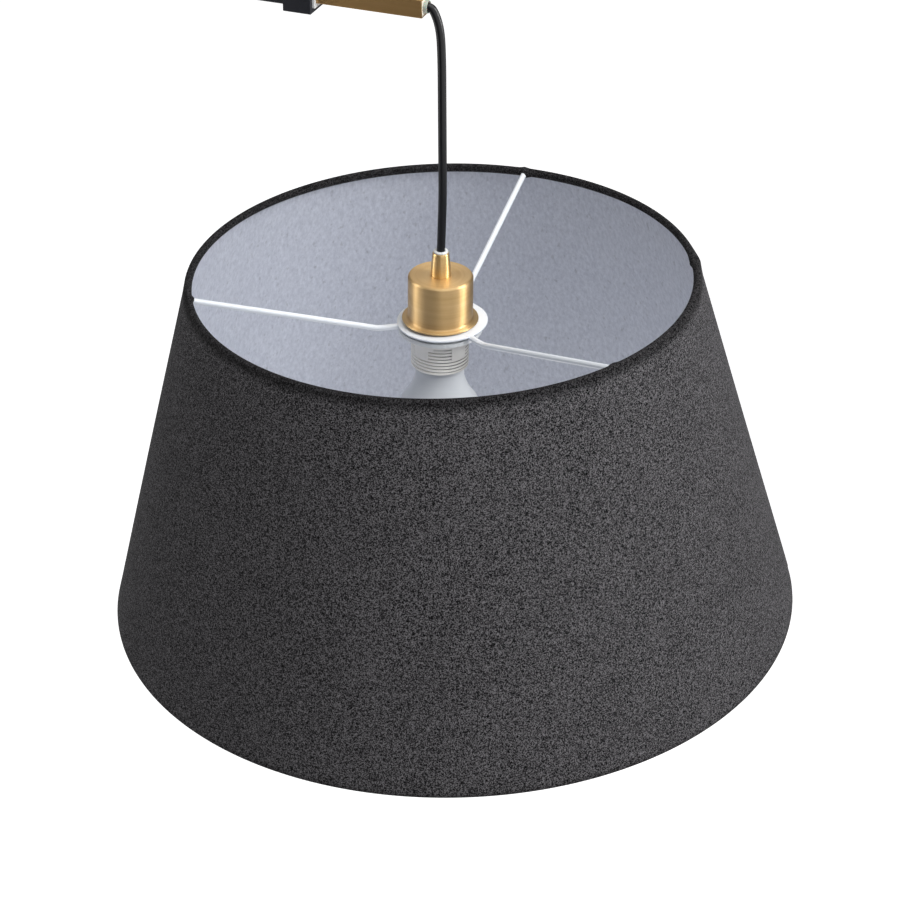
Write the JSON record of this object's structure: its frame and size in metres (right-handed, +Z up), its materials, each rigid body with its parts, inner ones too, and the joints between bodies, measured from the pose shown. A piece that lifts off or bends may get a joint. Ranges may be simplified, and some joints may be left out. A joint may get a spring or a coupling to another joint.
{
  "type": "wall light",
  "caption": "Swing-arm wall light: a square telescopic arm turns on a wall unit and carries a tapered fabric shade on a short hanging cord.",
  "frame": {"origin": "centre of the wall bracket's back face, midway between its two wall screws and level with the arm", "axes": "+Y into the wall, +Z up, the arm stands out along -Y at rest"},
  "size_m": [0.4911, 0.8722, 0.5382],
  "materials": {
    "brushed_brass": "brushed, satin lacquered",
    "zinc_steel": "zinc plated",
    "white_enamel": "gloss white enamel",
    "white_plastic": "moulded, semi-gloss",
    "ivory_plastic": "moulded, semi-gloss",
    "black_coat": "fine satin powder coat",
    "clear_nylon": "translucent",
    "black_plastic": "fine grain",
    "black_flex": "extruded, satin",
    "bronze_bush": "turned",
    "nickel_contact": "nickel plated",
    "bulb_shell": "opaque, satin",
    "charcoal_fabric": "plain woven, matt",
    "styrene_lining": "matt laminate"
  },
  "bodies": {
    "wall_unit": {"wall_bracket": "zinc_steel", "wall_housing": "black_coat", "housing_screws": "black_coat", "fork_stiffener": "zinc_steel", "pivot_fork": "black_coat", "fork_bolts": "zinc_steel", "pivot_studs": "brushed_brass", "inlet_grommet": "black_plastic", "terminal_block": "white_plastic", "terminal_screws": "zinc_steel", "earth_screw": "zinc_steel", "supply_flex": "black_flex", "switch_leads": "black_flex", "switch_body": "black_plastic"},
    "rocker": {"switch_rocker": "black_plastic"},
    "arm": {"arm_head": "black_coat", "pivot_bushes": "bronze_bush", "head_grub_screws": "zinc_steel", "arm_tube": "black_coat", "end_collar": "black_coat", "collar_liner": "white_plastic", "arm_lead": "black_flex", "coiled_lead": "black_flex"},
    "clamp": {"clamp_screw": "brushed_brass"},
    "extension": {"inner_tube": "brushed_brass", "tip_plug": "ivory_plastic", "cord_bushing": "clear_nylon", "rear_glide": "white_plastic", "tip_lead": "black_flex"},
    "cord_link": {"cord_bend": "black_flex"},
    "cord_hang": {"cord_drop": "black_flex"},
    "pendant": {"cord_tail": "black_flex", "cord_collet": "white_plastic", "grip_nozzle": "brushed_brass", "grip_nut": "zinc_steel", "holder_cup": "brushed_brass", "holder_cap": "white_plastic", "holder_skirt": "white_plastic", "screw_shell": "nickel_contact", "centre_contact": "nickel_contact", "shade_nut": "white_plastic", "bulb_insulator": "black_plastic", "bulb_contact": "zinc_steel", "bulb_cap": "nickel_contact", "bulb_body": "bulb_shell", "spider_ring": "white_enamel", "spider_wires": "white_enamel", "top_hoop": "white_enamel", "bottom_hoop": "white_enamel", "shade_lining": "styrene_lining", "shade_skin": "charcoal_fabric"}
  },
  "joints": [
    {"name": "arm_swing", "type": "hinge", "parent": "wall_unit", "child": "arm", "pos_m": [0, -0.055, 0], "axis": [0, 0, 1], "range_deg": [-65, 65]},
    {"name": "arm_extend", "type": "slide", "parent": "arm", "child": "extension", "axis": [0, -1, 0], "range_m": [-0.06, 0.2], "deforming": ["coiled_lead"]},
    {"name": "clamp_screw_turn", "type": "hinge", "parent": "arm", "child": "clamp", "pos_m": [0, -0.5245, 0], "axis": [0, 0, 1], "range_deg": [0, 270]},
    {"name": "switch_rock", "type": "hinge", "parent": "wall_unit", "child": "rocker", "pos_m": [0, -0.0335, -0.06], "axis": [1, 0, 0], "range_deg": [0, 14]},
    {"name": "cord_swing_sideways", "type": "hinge", "parent": "extension", "child": "cord_link", "pos_m": [0, -0.61, 0], "axis": [0, 1, 0], "range_deg": [-25, 25]},
    {"name": "cord_swing_fore_aft", "type": "hinge", "parent": "cord_link", "child": "cord_hang", "pos_m": [0, -0.621, -0.0229], "axis": [1, 0, 0], "range_deg": [-20, 20]},
    {"name": "shade_twist", "type": "hinge", "parent": "cord_hang", "child": "pendant", "pos_m": [0, -0.62, -0.173], "axis": [0, 0, 1], "range_deg": [-90, 90], "stiffness_Nm_per_rad": 0.02}
  ]
}
